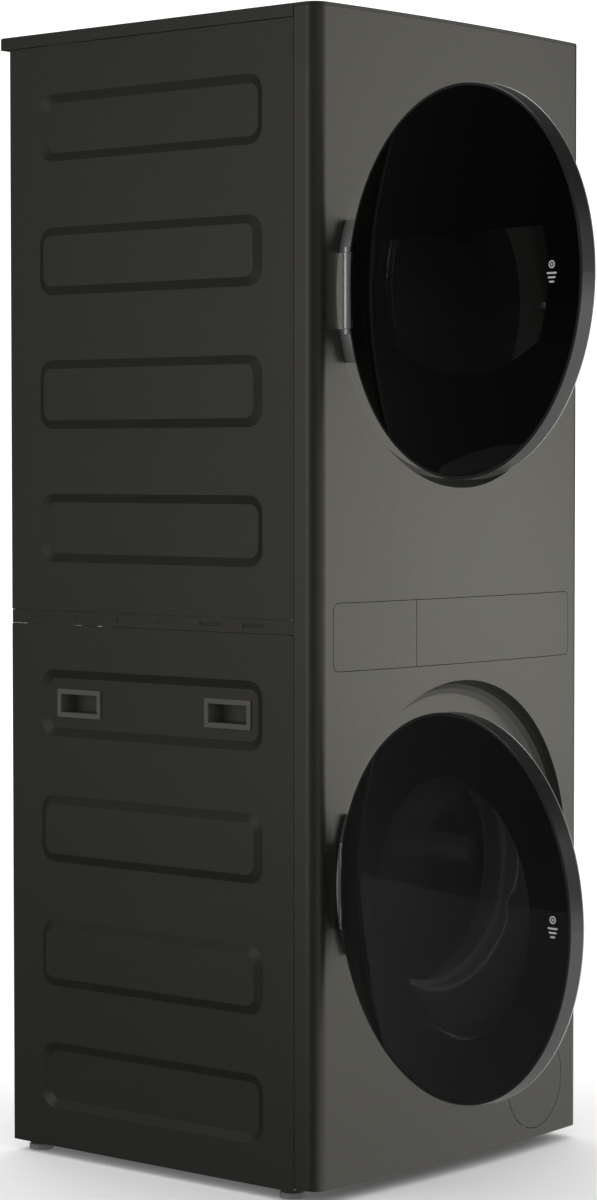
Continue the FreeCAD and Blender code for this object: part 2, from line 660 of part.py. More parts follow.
# ---------------------------------------------------------------- drain filter behind the round cover
cover = plan_solid(0, -340, 20, 220).common(cyl_y(filter_x, filter_z, filter_cover_r, -400, -340))
cover = cover.cut(plan_solid(2.5, -330, 10, 230))
pegs = [cyl_y(x, z, peg_r, -375, -328).common(plan_solid(2.3, -300, 0, 300)) for x, z in peg_places]
cover = join([cover] + pegs)
save("filter_cover", cover)
plug = cyl_y(filter_x, filter_z, 36, -340, -275).cut(cyl_y(filter_x, filter_z, 31, -334, -270))
grip = box(filter_x - 30, filter_x + 30, -349, -339.9, filter_z - 4, filter_z + 4)
save("drain_filter", join([plug, grip]))


# ---------------------------------------------------------------- door hardware fixed to the cabinet
def hinge_mount(z, hinge_y):
    """Bright cheeks that follow the dish wall and carry the hinge pin."""
    cavity = turned([
        (0, -400), (dish_r + 6, -400), (dish_r - 0.5, -372), (dish_wall_r - 0.5, -352),
        (dish_wall_r - 4, -343.5),
        (dish_floor_r - 1, dish_floor_y - 0.2), (0, dish_floor_y - 0.2),
    ], z)
    front = hinge_y - 5.5
    ring = tube_y(0, z, dish_r - 2.5, 288.5, front, -338)
    cheeks = []
    for s in (-1, 1):
        low = z + min(s * 58, s * 109)
        high = z + max(s * 58, s * 109)
        cheek = ring.common(box(-320, -200, -400, -300, low, high)).common(cavity)
        eye_low = z + min(s * 58, s * 66)
        eye_high = z + max(s * 58, s * 66)
        eye = cyl_z(hinge_x, hinge_y, 8, eye_low, eye_high)
        web = box(hinge_x + 2, -282.8, hinge_y, -345, eye_low, eye_high).common(cavity)
        cheek = cheek.fuse(eye).fuse(web)
        cheeks.append(cheek)
    return join([cyl_z(hinge_x, hinge_y, 4, z - 66, z + 66)] + cheeks)


def latch(z):
    """Push latch housing behind the dish floor, and its sprung plunger."""
    body = box(240, 286, -330.6, -303, z - 32, z + 32)
    body = body.cut(cyl_y(262, z, 5 + running_gap, -340, -306))
    plunger = cyl_y(262, z, 5, -341, -314)
    return body, plunger


latches = []
for name, z, y in (("dryer", dryer_z, dryer_hinge_y), ("washer", washer_z, washer_hinge_y)):
    save(name + "_hinge_mount", hinge_mount(z, y))
    body, plunger = latch(z)
    latches.append(body)
    save(name + "_latch_plunger", plunger)
save("door_latches", Part.makeCompound(latches))


# ---------------------------------------------------------------- doors (drawn shut, then swung open)
def swing(shape, hinge_y):
    shape.rotate(V(hinge_x, hinge_y, 0), V(0, 0, 1), -door_open_deg)
    return shape


def door(z, hinge_y, opening_r):
    """Rim, domed outer glass, inner frame round the opening, and the hinge barrel with its arm."""
    front = door_glass_y
    back = door_glass_y + door_depth
    relief = cyl_z(hinge_x, hinge_y, hinge_notch_r, z - 57.6, z + 57.6)
    rim = turned([
        (266, front + 4), (door_glass_r + 0.4, front + 4), (door_glass_r + 0.4, front + 0.4),
        (door_rim_r - 0.8, front + 0.4),
        (door_rim_r, front + 1.4), (door_rim_r, back - 2), (door_rim_r - 2, back), (266, back),
    ], z).cut(relief)
    dome_y = front + math.sqrt(glass_dome_r ** 2 - door_glass_r ** 2)
    glass = Part.makeSphere(glass_dome_r, V(0, dome_y, z))
    glass = glass.common(cyl_y(0, z, door_glass_r, front - 60, front + 3.6))
    glass = glass.cut(Part.makeSphere(glass_dome_r - glass_thickness, V(0, dome_y, z)))
    glass = glass.cut(relief)
    frame = turned([
        (opening_r, front + 4), (265.6, front + 4), (265.6, back), (258, back + 7), (opening_r + 8, back + 9),
        (opening_r + 2, back + 9), (opening_r, back + 4),
    ], z)
    striker = box(255, 265.6, -358, -341.3, z - 6, z + 6)
    frame = frame.fuse(striker)
    knuckle = cyl_z(hinge_x, hinge_y, 9, z - 57, z + 57)
    knuckle = knuckle.cut(cyl_z(hinge_x, hinge_y, 4 + running_gap, z - 60, z + 60))
    arm = box(hinge_x + 3, -268, hinge_y + 4, back + 3, z - 44, z + 44)
    arm = arm.cut(cyl_z(hinge_x, hinge_y, 8.5, z - 60, z + 60))
    arm = arm.cut(rim)
    arm = arm.common(cyl_y(0, z, 294, -390, -300))
    frame = frame.cut(box(-300, -267.7, -390, -300, z - 44.3, z + 44.3))
    return {"rim": rim, "glass": glass, "inner_frame": frame, "hinge_knuckle": join([knuckle, arm])}


dryer_bits = door(dryer_z, dryer_hinge_y, dryer_window_r)
washer_bits = door(washer_z, washer_hinge_y, window_r)
shroud = cyl_y(0, dryer_z, dryer_window_r + 1.0, -368, -366)
shroud_opening = cyl_y(0, dryer_z, dryer_window_r - 2.0, -370, -360)
shroud_opening = shroud_opening.common(cyl_y(0, dryer_z + 229, 363, -370, -360))
shroud_opening = shroud_opening.common(box(-220, 220, -372, -358, dryer_z - 220, dryer_z + 71))
shroud_opening = shroud_opening.cut(cyl_y(0, dryer_z + 123, 68, -372, -358))
dryer_bits["inner_frame"] = join([dryer_bits["inner_frame"], shroud.cut(shroud_opening)])
dryer_bits["inner_window"] = turned([
    (0, -352), (202, -352), (207.7, -357), (207.7, -362), (205, -362), (200, -356), (0, -356),
], dryer_z)
washer_bits["bowl"] = turned([
    (191.6, -372), (191.6, -368), (186, -366), (183.5, -336), (180.5, -302), (172, -288), (158, -278),
    (130, -270), (0, -262),
    (0, -267), (128, -275), (154, -282.6), (167.6, -291), (175.8, -303.5), (179, -337), (182, -372),
], washer_z)
doors = (("dryer_door_", dryer_bits, dryer_hinge_y), ("washer_door_", washer_bits, washer_hinge_y))
for prefix, bits, hinge_y in doors:
    for part_name, shape in bits.items():
        save(prefix + part_name, swing(shape, hinge_y))
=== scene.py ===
import math
import bmesh
import bpy
from mathutils import Matrix, Vector


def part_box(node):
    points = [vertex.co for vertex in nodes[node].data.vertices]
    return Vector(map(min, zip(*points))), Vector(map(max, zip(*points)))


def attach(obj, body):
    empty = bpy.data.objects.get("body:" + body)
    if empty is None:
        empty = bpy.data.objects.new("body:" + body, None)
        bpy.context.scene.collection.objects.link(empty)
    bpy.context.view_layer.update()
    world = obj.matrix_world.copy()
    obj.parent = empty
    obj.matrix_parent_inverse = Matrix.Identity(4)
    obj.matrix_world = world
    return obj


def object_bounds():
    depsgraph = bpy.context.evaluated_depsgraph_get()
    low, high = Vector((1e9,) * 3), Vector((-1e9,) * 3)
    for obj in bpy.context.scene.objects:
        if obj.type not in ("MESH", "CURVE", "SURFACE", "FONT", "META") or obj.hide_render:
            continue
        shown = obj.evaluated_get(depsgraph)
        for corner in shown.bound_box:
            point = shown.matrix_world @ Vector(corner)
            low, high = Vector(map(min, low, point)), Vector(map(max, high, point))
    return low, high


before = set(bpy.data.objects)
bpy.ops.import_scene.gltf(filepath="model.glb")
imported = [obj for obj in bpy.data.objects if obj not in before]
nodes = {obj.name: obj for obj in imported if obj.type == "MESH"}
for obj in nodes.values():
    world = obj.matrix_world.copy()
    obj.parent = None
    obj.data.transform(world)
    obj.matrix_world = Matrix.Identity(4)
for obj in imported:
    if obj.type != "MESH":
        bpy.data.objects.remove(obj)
cad_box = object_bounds()

MM = 0.001
DRYER_Z = 1404.0
WASHER_Z = 492.5
HINGE_X = -292.0
HINGE_Y = {"dryer": -375.9, "washer": -367.8}
CENTRE_Z = {"dryer": DRYER_Z, "washer": WASHER_Z}
OPEN_DEG = 106.0


# ---------------------------------------------------------------- materials
class Surface:
    """One Principled material, with short calls that add its colour, roughness and relief."""

    def __init__(self, name, colour, roughness, metallic=0.0, **fixed):
        self.material = bpy.data.materials.new(name)
        self.material.use_nodes = True
        self.tree = self.material.node_tree
        self.shader = self.tree.nodes["Principled BSDF"]
        self.colour = colour
        self.normal = None
        self.shader.inputs["Base Color"].default_value = (*colour, 1.0)
        self.shader.inputs["Roughness"].default_value = roughness
        self.shader.inputs["Metallic"].default_value = metallic
        for key, value in fixed.items():
            self.shader.inputs[key.replace("_", " ")].default_value = value
        self.coords = self.tree.nodes.new("ShaderNodeTexCoord").outputs["Object"]

    def link(self, source, target):
        self.tree.links.new(source, target)

    def math(self, operation, a, b=0.0, c=0.0):
        node = self.tree.nodes.new("ShaderNodeMath")
        node.operation = operation
        for socket, value in zip(node.inputs, (a, b, c)):
            if hasattr(value, "node"):
                self.link(value, socket)
            else:
                socket.default_value = value
        return node.outputs[0]

    def stretched(self, scale, origin=(0.0, 0.0, 0.0)):
        node = self.tree.nodes.new("ShaderNodeMapping")
        node.inputs["Scale"].default_value = scale
        node.inputs["Location"].default_value = [-o * s for o, s in zip(origin, scale)]
        self.link(self.coords, node.inputs["Vector"])
        return node.outputs[0]

    def noise(self, scale, detail=2.0, stretch=None):
        node = self.tree.nodes.new("ShaderNodeTexNoise")
        node.inputs["Scale"].default_value = scale
        node.inputs["Detail"].default_value = detail
        self.link(self.stretched(stretch) if stretch else self.coords, node.inputs["Vector"])
        return node.outputs["Fac"]

    def cells(self, scale, output="Distance", feature="F1", stretch=None):
        node = self.tree.nodes.new("ShaderNodeTexVoronoi")
        node.feature = feature
        node.inputs["Scale"].default_value = scale
        self.link(self.stretched(stretch) if stretch else self.coords, node.inputs["Vector"])
        if output == "Color":
            split = self.tree.nodes.new("ShaderNodeSeparateColor")
            self.link(node.outputs["Color"], split.inputs[0])
            return split.outputs[0]
        return node.outputs[output]

    def remap(self, field, low, high, start, end):
        node = self.tree.nodes.new("ShaderNodeMapRange")
        self.link(field, node.inputs["Value"])
        for key, value in (("From Min", low), ("From Max", high), ("To Min", start), ("To Max", end)):
            node.inputs[key].default_value = value
        return node.outputs[0]

    def xyz(self, origin=(0.0, 0.0, 0.0)):
        split = self.tree.nodes.new("ShaderNodeSeparateXYZ")
        self.link(self.stretched((1.0, 1.0, 1.0), origin), split.inputs[0])
        return split.outputs

    def tint(self, field, dark, light):
        """Base colour between two colours, by a field from 0 to 1."""
        node = self.tree.nodes.new("ShaderNodeMix")
        node.data_type = "RGBA"
        self.link(field, node.inputs["Factor"])
        base = self.shader.inputs["Base Color"]
        node.inputs[6].default_value = (*dark, 1.0)
        node.inputs[7].default_value = (*light, 1.0)
        if base.links:
            mixer = self.tree.nodes.new("ShaderNodeMix")
            mixer.data_type = "RGBA"
            mixer.blend_type = "MULTIPLY"
            mixer.inputs["Factor"].default_value = 1.0
            previous = base.links[0].from_socket
            self.link(previous, mixer.inputs[6])
            self.link(node.outputs[2], mixer.inputs[7])
            self.link(mixer.outputs[2], base)
        else:
            self.link(node.outputs[2], base)
        return self

    def vary(self, field, amount):
        """Base colour a little darker and lighter, by a field from 0 to 1."""
        base = self.shader.inputs["Base Color"]
        dark = tuple(1.0 - amount for _ in range(3))
        light = tuple(1.0 + amount for _ in range(3))
        if not base.links:
            dark = tuple(c * (1.0 - amount) for c in self.colour)
            light = tuple(c * (1.0 + amount) for c in self.colour)
        return self.tint(field, dark, light)

    def rough(self, field, low, high):
        self.link(self.remap(field, 0.0, 1.0, low, high), self.shader.inputs["Roughness"])
        return self

    def bump(self, field, height, strength=1.0):
        node = self.tree.nodes.new("ShaderNodeBump")
        node.inputs["Strength"].default_value = strength
        node.inputs["Distance"].default_value = height
        self.link(field, node.inputs["Height"])
        if self.normal is not None:
            self.link(self.normal, node.inputs["Normal"])
        self.normal = node.outputs[0]
        self.link(self.normal, self.shader.inputs["Normal"])
        return self


def metallic_paint(name, colour, roughness):
    s = Surface(name, colour, roughness, 0.97, Coat_Weight=0.12, Coat_Roughness=0.35)
    s.vary(s.cells(1500.0, "Color"), 0.16)
    s.vary(s.noise(3.0, 3.0), 0.05)
    s.rough(s.noise(900.0, 2.0), roughness - 0.06, roughness + 0.08)
    s.bump(s.noise(420.0, 2.0), 0.00006, 0.5)
    s.bump(s.cells(1500.0), 0.00003, 0.4)
    return s.material


def galvanised():
    s = Surface("zinc_sheet", (0.52, 0.53, 0.54), 0.38, 0.95)
    s.vary(s.cells(95.0, "Color"), 0.16)
    s.vary(s.noise(9.0, 4.0), 0.10)
    s.rough(s.cells(95.0, "Color"), 0.28, 0.48)
    s.bump(s.noise(700.0, 2.0), 0.00004, 0.4)
    return s.material


def brushed(name, colour, roughness, stretch, coarse=60.0):
    s = Surface(name, colour, roughness, 1.0)
    grain = s.noise(coarse, 4.0, stretch)
    s.vary(grain, 0.14)
    s.vary(s.noise(7.0, 3.0), 0.06)
    s.rough(grain, roughness - 0.06, roughness + 0.10)
    s.bump(grain, 0.00005, 0.35)
    return s.material


def ring_brushed(name, colour, roughness, x, y, z, tilt=0.0):
    """Metal brushed round a ring: the grain follows circles about the door's own centre."""
    s = Surface(name, colour, roughness, 1.0)
    parts = s.tree.nodes.new("ShaderNodeMapping")
    parts.vector_type = "TEXTURE"
    parts.inputs["Location"].default_value = (x, y, z)
    parts.inputs["Rotation"].default_value = (0.0, 0.0, tilt)
    s.link(s.coords, parts.inputs["Vector"])
    split = s.tree.nodes.new("ShaderNodeSeparateXYZ")
    s.link(parts.outputs[0], split.inputs[0])
    across, upward = split.outputs[0], split.outputs[2]
    squares = s.math("ADD", s.math("POWER", across, 2.0), s.math("POWER", upward, 2.0))
    radius = s.math("SQRT", squares)
    join = s.tree.nodes.new("ShaderNodeCombineXYZ")
    s.link(s.math("MULTIPLY", radius, 900.0), join.inputs[0])
    s.link(s.math("MULTIPLY", split.outputs[1], 900.0), join.inputs[1])
    s.link(s.math("MULTIPLY", s.math("ARCTAN2", upward, across), 3.0), join.inputs[2])
    node = s.tree.nodes.new("ShaderNodeTexNoise")
    node.inputs["Scale"].default_value = 1.0
    node.inputs["Detail"].default_value = 3.0
    s.link(join.outputs[0], node.inputs["Vector"])
    grain = node.outputs["Fac"]
    s.vary(grain, 0.18)
    s.rough(grain, roughness - 0.07, roughness + 0.09)
    s.bump(grain, 0.00004, 0.3)
    return s.material


def moulded(name, colour, roughness, grain=900.0, height=0.00006, specular=0.5):
    s = Surface(name, colour, roughness, 0.0, Specular_IOR_Level=specular)
    s.vary(s.noise(14.0, 3.0), 0.10)
    s.rough(s.noise(260.0, 3.0), roughness - 0.07, roughness + 0.09)
    s.bump(s.cells(grain), height, 0.5)
    s.bump(s.noise(60.0, 2.0), 0.0001, 0.15)
    return s.material


def rubber(name, colour, roughness=0.62):
    s = Surface(name, colour, roughness, 0.0, Sheen_Weight=0.12, Sheen_Roughness=0.5)
    s.vary(s.noise(30.0, 5.0), 0.14)
    s.rough(s.noise(120.0, 4.0), roughness - 0.10, roughness + 0.14)
    s.bump(s.noise(1100.0, 3.0), 0.00008, 0.5)
    return s.material


def casting(name, colour, roughness, metallic, grain=260.0):
    s = Surface(name, colour, roughness, metallic)
    s.vary(s.noise(grain, 6.0), 0.20)
    s.vary(s.noise(18.0, 4.0), 0.12)
    s.rough(s.noise(grain * 0.5, 4.0), roughness - 0.10, roughness + 0.12)
    s.bump(s.noise(grain, 6.0), 0.0004, 0.5)
    return s.material


def chrome():
    s = Surface("satin_chrome", (0.95, 0.95, 0.95), 0.42, 1.0)
    s.vary(s.noise(25.0, 3.0), 0.03)
    s.rough(s.noise(300.0, 5.0, (1.0, 1.0, 0.08)), 0.36, 0.50)
    s.bump(s.noise(900.0, 2.0, (1.0, 1.0, 0.05)), 0.00001, 0.2)
    return s.material


def glass(name, colour, roughness, ior, **fixed):
    s = Surface(name, colour, roughness, 0.0, Transmission_Weight=1.0, IOR=ior, **fixed)
    s.vary(s.noise(6.0, 2.0), 0.05)
    s.rough(s.noise(40.0, 4.0), max(0.0, roughness - 0.008), roughness + 0.012)
    s.bump(s.noise(9.0, 1.0), 0.00002, 0.1)
    return s.material


def perforated(name, z, radius, pitch, hole):
    """Stainless drum sheet: staggered round holes with a pressed edge, brushed round the drum; the holes
    carry painted shade.
    """
    s = Surface(name, (0.60, 0.60, 0.59), 0.25, 1.0)
    x, y, height = s.xyz((0.0, 0.0, z))
    around = s.math("MULTIPLY", s.math("ARCTAN2", height, x), radius / pitch)
    along = s.math("MULTIPLY", y, 1.0 / (pitch * 0.866))
    row = s.math("FLOOR", along)
    shift = s.math("MULTIPLY", s.math("MODULO", s.math("ABSOLUTE", row), 2.0), 0.5)
    du = s.math("SUBTRACT", s.math("FRACT", s.math("ADD", around, shift)), 0.5)
    dv = s.math("MULTIPLY", s.math("SUBTRACT", s.math("FRACT", along), 0.5), 0.866)
    distance = s.math("SQRT", s.math("ADD", s.math("POWER", du, 2.0), s.math("POWER", dv, 2.0)))
    share = hole / pitch
    hole_shade = s.remap(distance, share * 0.94, share * 1.06, 0.0, 1.0)
    grain = s.noise(60.0, 4.0, (0.4, 9.0, 0.4))
    s.vary(grain, 0.12)
    # painted shade: the real holes are tinted near-black for the dark seen through them
    s.tint(hole_shade, (0.02, 0.02, 0.02), (1.0, 1.0, 1.0))
    s.rough(grain, 0.18, 0.34)
    s.bump(s.remap(distance, share * 0.9, share * 1.9, 0.0, 1.0), 0.0012, 0.8)
    return s.material


def printed_board():
    s = Surface("board_lacquer", (0.03, 0.16, 0.09), 0.35)
    lines = s.cells(220.0, "Distance", "F1", (1.0, 1.0, 1.0))
    s.tint(s.remap(lines, 0.30, 0.36, 0.0, 1.0), (0.10, 0.30, 0.17), (0.02, 0.12, 0.07))
    s.bump(lines, 0.0002, 0.3)
    return s.material


def mesh_weave(name, colour, frame_colour):
    """Fine filter gauze inside a moulded frame: two crossing sets of threads."""
    s = Surface(name, colour, 0.5)
    low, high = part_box("lint_filter")
    centre = [(l + h) / 2 for l, h in zip(low, high)]
    x, _, z = s.xyz((centre[0], 0.0, low[2] + 0.010))
    warp = s.math("SINE", s.math("MULTIPLY", x, 3400.0))
    weft = s.math("SINE", s.math("MULTIPLY", z, 3400.0))
    threads = s.remap(s.math("MAXIMUM", warp, weft), -0.2, 0.8, 0.0, 1.0)
    across = s.math("LESS_THAN", s.math("ABSOLUTE", x), 0.110)
    upward = s.math("MULTIPLY", s.math("GREATER_THAN", z, 0.0), s.math("LESS_THAN", z, 0.106))
    inside = s.math("MULTIPLY", across, upward)
    solid = s.math("SUBTRACT", 1.0, inside)
    field = s.math("MAXIMUM", threads, solid)
    s.tint(field, (0.10, 0.11, 0.12), (1.0, 1.0, 1.0))
    s.tint(inside, frame_colour, colour)
    s.bump(field, 0.0003, 0.7)
    return s.material


def foot_parts(name, pad_colour, stud_colour):
    """Pale moulded pad below a dark stud and nut."""
    s = Surface(name, pad_colour, 0.5)
    _, _, z = s.xyz()
    s.tint(s.remap(z, 0.0088, 0.0094, 0.0, 1.0), pad_colour, stud_colour)
    s.vary(s.noise(120.0, 4.0), 0.12)
    s.rough(s.noise(300.0, 3.0), 0.42, 0.62)
    s.bump(s.noise(800.0, 3.0), 0.00008, 0.5)
    return s.material


FRONT_PAINT = metallic_paint("gunmetal_front", (0.108, 0.105, 0.092), 0.42)
# painted shade: the side copy of the gunmetal paint is a little darker than the front copy, for the faces
# turned from the key light
SIDE_PAINT_SHADED = metallic_paint("gunmetal_side_shaded", (0.100, 0.097, 0.086), 0.46)
ZINC = galvanised()
DRUM_WASHER = perforated("washer_drum_steel", WASHER_Z * MM, 0.243, 0.0165, 0.0021)
DRUM_DRYER = brushed("dryer_drum_steel", (0.58, 0.58, 0.57), 0.26, (0.5, 12.0, 0.5))
STEEL_PLAIN = brushed("lifter_steel", (0.60, 0.60, 0.59), 0.24, (0.5, 12.0, 0.5))
CHROME = chrome()
MOTOR_STEEL = brushed("turned_steel", (0.36, 0.37, 0.38), 0.34, (1.0, 14.0, 1.0))
CAST_ALU = casting("cast_aluminium", (0.62, 0.62, 0.63), 0.42, 0.9)
CAST_WEIGHT = casting("cast_weight", (0.30, 0.29, 0.27), 0.85, 0.0, 160.0)
BLACK = moulded("black_plastic", (0.022, 0.022, 0.023), 0.42)
BLACK_SOFT = moulded("black_satin_plastic", (0.030, 0.030, 0.030), 0.34, 1400.0, 0.00003)
GREY = moulded("grey_plastic", (0.42, 0.43, 0.43), 0.45)
PALE_GREY = moulded("pale_grey_plastic", (0.62, 0.62, 0.61), 0.42)
WHITE = moulded("white_plastic", (0.78, 0.78, 0.76), 0.42)
GASKET = rubber("gasket_rubber", (0.30, 0.31, 0.31))
RUBBER_BLACK = rubber("black_rubber", (0.025, 0.025, 0.026))
CUP = moulded("handhold_plastic", (0.050, 0.048, 0.042), 0.50)
PUMP = moulded("pump_plastic", (0.10, 0.10, 0.11), 0.28)
GLASS_DRYER = glass("smoked_glass_dryer", (0.060, 0.060, 0.060), 0.0, 1.5)
GLASS_WASHER = glass(
    "smoked_glass_washer", (0.060, 0.060, 0.060), 0.0, 1.5, Sheen_Weight=0.013, Sheen_Roughness=0.7
)
CLEAR_GLASS = glass("clear_glass", (0.88, 0.88, 0.875), 0.0, 1.35)
BOARD = printed_board()
GAUZE = mesh_weave("lint_gauze", (0.45, 0.46, 0.47), (0.55, 0.55, 0.54))
FEET = foot_parts("foot_moulding", (0.15, 0.15, 0.148), (0.030, 0.030, 0.030))
# painted shade: near-black material for the bars that fill the joint strip slots and seams with shade
SLOT_SHADE = rubber("slot_shade_dark", (0.012, 0.012, 0.012), 0.9)
MARK = moulded("pale_print", (0.27, 0.27, 0.27), 0.5, 2400.0, 0.00001)
SCREW_BLACK = casting("black_screw", (0.030, 0.030, 0.031), 0.38, 0.6, 700.0)
SCREW_ZINC = brushed("zinc_screw", (0.55, 0.55, 0.54), 0.30, (3.0, 3.0, 3.0), 200.0)
HOLE = rubber("drum_hole_shadow", (0.006, 0.006, 0.006), 0.9)


def door_frame_point(unit):
    """Where the door's centre is while it stands open, in metres."""
    angle = math.radians(-OPEN_DEG)
    dx = -HINGE_X
    dy = -370.0 - HINGE_Y[unit]
    x = HINGE_X + dx * math.cos(angle) - dy * math.sin(angle)
    y = HINGE_Y[unit] + dx * math.sin(angle) + dy * math.cos(angle)
    return x * MM, y * MM, CENTRE_Z[unit] * MM


RING_COLOUR = (0.145, 0.145, 0.143)
RING_ROUGHNESS = 0.32
RING = {
    unit: ring_brushed(
        unit + "_ring_metal", RING_COLOUR, RING_ROUGHNESS, *door_frame_point(unit), -math.radians(OPEN_DEG)
    )
    for unit in ("dryer", "washer")
}

by_material = {
    FRONT_PAINT: ["front_panel", "control_fascia", "drawer_front", "filter_cover"],
    SIDE_PAINT_SHADED: [
        "dryer_side_panel_left", "dryer_side_panel_right", "washer_side_panel_left",
        "washer_side_panel_right", "top_lid", "trim_strips",
    ],
    ZINC: [
        "base_frame", "middle_deck", "washer_back_panel", "dryer_back_panel", "dryer_front_bulkhead",
        "dryer_rear_bulkhead", "blower_housing", "heater_box",
    ],
    DRUM_WASHER: ["washer_drum_shell"],
    DRUM_DRYER: ["dryer_drum_shell"],
    STEEL_PLAIN: ["dryer_drum_baffles"],
    CHROME: [
        "dryer_hinge_mount", "washer_hinge_mount", "dryer_door_hinge_knuckle", "washer_door_hinge_knuckle",
    ],
    MOTOR_STEEL: ["dryer_motor", "motor_rotor", "motor_stator", "tub_suspension"],
    CAST_ALU: ["drum_spider", "blower_wheel"],
    CAST_WEIGHT: ["counterweights"],
    BLACK: ["door_latches", "terminal_block"],
    BLACK_SOFT: ["dryer_door_inner_frame", "washer_door_inner_frame"],
    GREY: ["drain_filter", "dryer_latch_plunger", "washer_latch_plunger"],
    FEET: ["levelling_feet"],
    PALE_GREY: ["washer_drum_lifters", "drawer_tray"],
    WHITE: ["dispenser_housing", "inlet_valve", "tub_front", "tub_rear"],
    GASKET: ["door_gasket"],
    RUBBER_BLACK: ["drive_belt", "drum_roller_left", "drum_roller_right"],
    CUP: ["handhold_cups"],
    PUMP: ["drain_pump"],
    GLASS_DRYER: ["dryer_door_glass"],
    GLASS_WASHER: ["washer_door_glass"],
    CLEAR_GLASS: ["dryer_door_inner_window", "washer_door_bowl"],
    BOARD: ["control_board"],
    GAUZE: ["lint_filter"],
    RING["dryer"]: ["dryer_door_rim"],
    RING["washer"]: ["washer_door_rim"],
}
for material, names in by_material.items():
    for name in names:
        mesh = nodes[name].data
        mesh.materials.clear()
        mesh.materials.append(material)


# ---------------------------------------------------------------- mesh helpers
def door_matrix(unit):
    """Takes a point of the shut door to where it is while the door stands open."""
    pivot = Matrix.Translation((HINGE_X * MM, HINGE_Y[unit] * MM, 0.0))
    return pivot @ Matrix.Rotation(math.radians(-OPEN_DEG), 4, "Z") @ pivot.inverted()


def piece(name, parts, materials, body, matrix=None, marks=()):
    """One mesh object from several (points, faces) parts, in millimetres, riding on a body."""
    points, faces = [], []
    for part_points, part_faces in parts:
        start = len(points)
        points += [Vector(point) * MM for point in part_points]
        faces += [tuple(index + start for index in face) for face in part_faces]
    mesh = bpy.data.meshes.new(name)
    mesh.from_pydata(points, [], faces)
    for material in materials:
        mesh.materials.append(material)
    for index in marks:
        mesh.polygons[index].material_index = 1
    shape = bmesh.new()
    shape.from_mesh(mesh)
    bmesh.ops.recalc_face_normals(shape, faces=shape.faces)
    shape.to_mesh(mesh)
    shape.free()
    if matrix is not None:
        mesh.transform(matrix)
    mesh.shade_smooth()
    mesh.set_sharp_from_angle(angle=math.radians(40.0))
    obj = bpy.data.objects.new(name, mesh)
    bpy.context.scene.collection.objects.link(obj)
    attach(obj, body)
    return obj


def hex_radius(r, angle):
    return r * math.cos(math.pi / 6) / math.cos((angle % (math.pi / 3)) - math.pi / 6)


def revolve(profile, place, out, steps=24, closed=False):
    """Rings about an axis at place along out, from (radius, height) or (radius, height, "hex") entries."""
    place, out = Vector(place), Vector(out).normalized()
    side = out.orthogonal().normalized()
    up = out.cross(side)
    points, faces, rings = [], [], []
    for r, height, *kind in profile:
        if r == 0.0:
            rings.append([len(points)])
            points.append(place + out * height)
            continue
        rings.append(list(range(len(points), len(points) + steps)))
        for k in range(steps):
            angle = 2.0 * math.pi * k / steps
            reach = hex_radius(r, angle) if kind else r
            spoke = side * math.cos(angle) + up * math.sin(angle)
            points.append(place + out * height + spoke * reach)
    pairs = list(zip(rings, rings[1:]))
    if closed:
        pairs.append((rings[-1], rings[0]))
    for a, b in pairs:
        for k in range(steps):
            n = (k + 1) % steps
            quad = (a[k % len(a)], a[n % len(a)], b[n % len(b)], b[k % len(b)])
            faces.append(tuple(dict.fromkeys(quad)))
    return points, faces


def rounded_bar(low, high, radius, bulge=0.0, along=12):
    """Bar along Y with rounded corners, swelling a little along its length."""
    (x0, y0, z0), (x1, y1, z1) = low, high
    section = []
    for cx, cz, start in ((x1, z1, 0), (x0, z1, 90), (x0, z0, 180), (x1, z0, 270)):
        for step in (0, 30, 60, 90):
            a = math.radians(start + step)
            inner_x = cx - math.copysign(radius, math.cos(math.radians(start + 45)))
            inner_z = cz - math.copysign(radius, math.sin(math.radians(start + 45)))
            section.append((inner_x + radius * math.cos(a), inner_z + radius * math.sin(a)))
    mid_x, mid_z = (x0 + x1) / 2, (z0 + z1) / 2
    points, faces, count = [], [], len(section)
    for i in range(along + 1):
        swell = 1.0 - bulge * (0.5 + 0.5 * math.cos(i * 2.4))
        y = y0 + (y1 - y0) * i / along
        for x, z in section:
            points.append((mid_x + (x - mid_x) * swell, y, mid_z + (z - mid_z) * swell))
    for i in range(along):
        for k in range(count):
            n = (k + 1) % count
            faces.append((i * count + k, i * count + n, (i + 1) * count + n, (i + 1) * count + k))
    faces.append(tuple(range(count)))
    faces.append(tuple(range(along * count, (along + 1) * count)))
    return points, faces


def pan_head(r):
    return [
        (0.0, -0.2), (r, -0.2), (r, 0.22 * r), (0.9 * r, 0.45 * r), (0.66 * r, 0.6 * r),
        (0.5 * r, 0.62 * r, "hex"), (0.46 * r, 0.56 * r, "hex"), (0.44 * r, 0.2 * r, "hex"), (0.0, 0.16 * r),
    ]


def flange_head(r):
    return [
        (0.0, -0.2), (r, -0.2), (r, 0.14 * r), (0.92 * r, 0.22 * r), (0.72 * r, 0.26 * r, "hex"),
        (0.72 * r, 0.8 * r, "hex"), (0.62 * r, 0.92 * r, "hex"), (0.5 * r, 0.86 * r), (0.0, 0.8 * r),
    ]


def screws(name, places, out, head, material, body, matrix=None):
    piece(name, [revolve(head, place, out) for place in places], [material], body, matrix)


def on_circle(x, z, r, y, angles):
    return [(x + r * math.cos(math.radians(a)), y, z + r * math.sin(math.radians(a))) for a in angles]


# ---------------------------------------------------------------- screws
def upright_rows(x, z_list):
    return [(side * x, z) for side in (-1, 1) for z in z_list]


